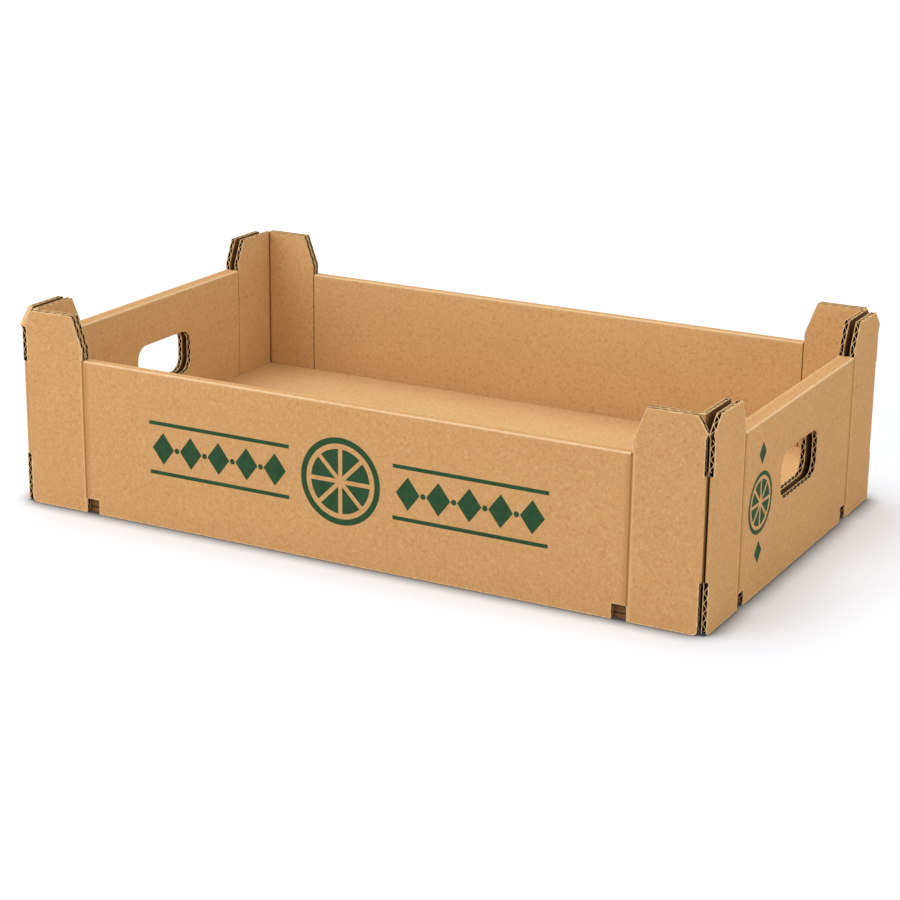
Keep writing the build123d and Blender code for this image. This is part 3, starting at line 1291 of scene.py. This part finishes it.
def studio_floor():
    """Pale floor that stays white, keeps the tray's soft shadow and has a contact shadow painted close
    under the tray's edges.
    """
    mesh = bpy.data.meshes.new("studio_floor")
    corners = ((-1, -1), (1, -1), (1, 1), (-1, 1))
    mesh.from_pydata([(x * FLOOR_REACH, y * FLOOR_REACH, 0) for x, y in corners], [], [(0, 1, 2, 3)])
    floor = bpy.data.objects.new("studio_floor", mesh)
    bpy.context.scene.collection.objects.link(floor)
    material, tree, diffuse = matt_shader("studio_floor", roughness=0.9, gloss=0.0)
    seen = add_node(tree, "ShaderNodeLightPath").outputs["Is Camera Ray"]
    # Painted contact shadow: the floor darkens where occlusion finds the tray close by
    sky = add_node(tree, "ShaderNodeAmbientOcclusion", {"samples": 16}, Distance=CONTACT_REACH)
    clear = figure(tree, "POWER", spread(tree, sky.outputs["AO"], *CONTACT_CLEAR), CONTACT_FADE)
    shown = blend_colour(tree, clear, PAINTED_CONTACT_SHADOW, OPEN_FLOOR)
    tree.links.new(blend_colour(tree, seen, FLOOR_BOUNCE, shown), diffuse.inputs["Base Color"])
    where = add_node(tree, "ShaderNodeTexCoord").outputs["Object"]
    away = add_node(tree, "ShaderNodeVectorMath", {"operation": "LENGTH"}, _0=where).outputs["Value"]
    lift = spread(tree, away, *LIFT_DISTANCES, NEAR_LIFT, FAR_LIFT)
    lift = figure(tree, "MULTIPLY", seen, lift, spread(tree, clear, 0.0, 1.0, CONTACT_LIFT, 1.0))
    glow = add_node(tree, "ShaderNodeEmission", Color=(1, 1, 1, 1), Strength=lift)
    mixed = add_node(tree, "ShaderNodeAddShader", _0=diffuse.outputs[0], _1=glow.outputs[0])
    tree.links.new(mixed.outputs[0], tree.nodes["Material Output"].inputs["Surface"])
    mesh.materials.append(material)
    floor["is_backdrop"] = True


def studio_world():
    """White backdrop for the camera, softer sky light for the tray."""
    world = bpy.data.worlds.new("studio")
    bpy.context.scene.world = world
    world.use_nodes = True
    tree = world.node_tree
    sky = tree.nodes["Background"]
    sky.inputs["Color"].default_value = SKY_COLOUR
    sky.inputs["Strength"].default_value = SKY_STRENGTH
    backdrop = add_node(tree, "ShaderNodeBackground", Color=(1, 1, 1, 1), Strength=1.0)
    rays = add_node(tree, "ShaderNodeLightPath").outputs
    kinds = [rays[f"Is {kind} Ray"] for kind in ("Camera", "Glossy", "Transmission")]
    seen = figure(tree, "MAXIMUM", *kinds)
    mixed = add_node(tree, "ShaderNodeMixShader", _0=seen, _1=sky.outputs[0], _2=backdrop.outputs[0])
    tree.links.new(mixed.outputs[0], tree.nodes["World Output"].inputs["Surface"])


def soft_sun(name, towards, strength, spread_degrees):
    """Wide soft light that shines from a direction."""
    data = bpy.data.lights.new(name, "SUN")
    data.energy = strength
    data.angle = math.radians(spread_degrees)
    place_lamp(name, data, (0, 0, 0), towards)


def soft_panel(name, position, target, power, size):
    """Square light panel at a position, turned to a target."""
    data = bpy.data.lights.new(name, "AREA")
    data.energy = power
    data.size = size
    place_lamp(name, data, position, Vector(position) - Vector(target))


def place_lamp(name, data, position, towards):
    """Put a lamp in the scene so that its light comes from a direction."""
    lamp = bpy.data.objects.new(name, data)
    lamp.location = position
    lamp.rotation_mode = "QUATERNION"
    lamp.rotation_quaternion = Vector(towards).to_track_quat("Z", "Y")
    bpy.context.scene.collection.objects.link(lamp)


def photograph_camera():
    """Camera at the photograph's viewing angle, for a square frame."""
    position = (0.7084943, -1.3331184, 0.5120167)
    yaw, pitch, roll = 0.4895, 0.306, 0.0129
    focal_share = 2299.94 / 900
    sensor = 36.0
    data = bpy.data.cameras.new("camera")
    data.sensor_width = sensor
    data.lens = focal_share * sensor
    camera = bpy.data.objects.new("camera", data)
    turn = Matrix.Rotation(yaw, 4, "Z") @ Matrix.Rotation(math.pi / 2 - pitch, 4, "X")
    camera.matrix_world = Matrix.Translation(position) @ turn @ Matrix.Rotation(roll, 4, "Z")
    bpy.context.scene.collection.objects.link(camera)
    bpy.context.scene.camera = camera


studio_floor()
studio_world()
soft_sun("key", towards=(-0.30, 0.03, 1.0), strength=1.54, spread_degrees=50)
soft_panel("left_side", (-0.9, -1.5, 0.4), target=(-0.1, -0.15, 0.05), power=10.4, size=1.0)
soft_panel("right_side", (1.2, -0.3, 0.15), target=(0.25, 0.0, 0.07), power=3.0, size=0.6)
photograph_camera()
bpy.context.scene.view_settings.view_transform = "Standard"

sizes = [list(corner) for corner in (*cad_bounds, *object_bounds())]
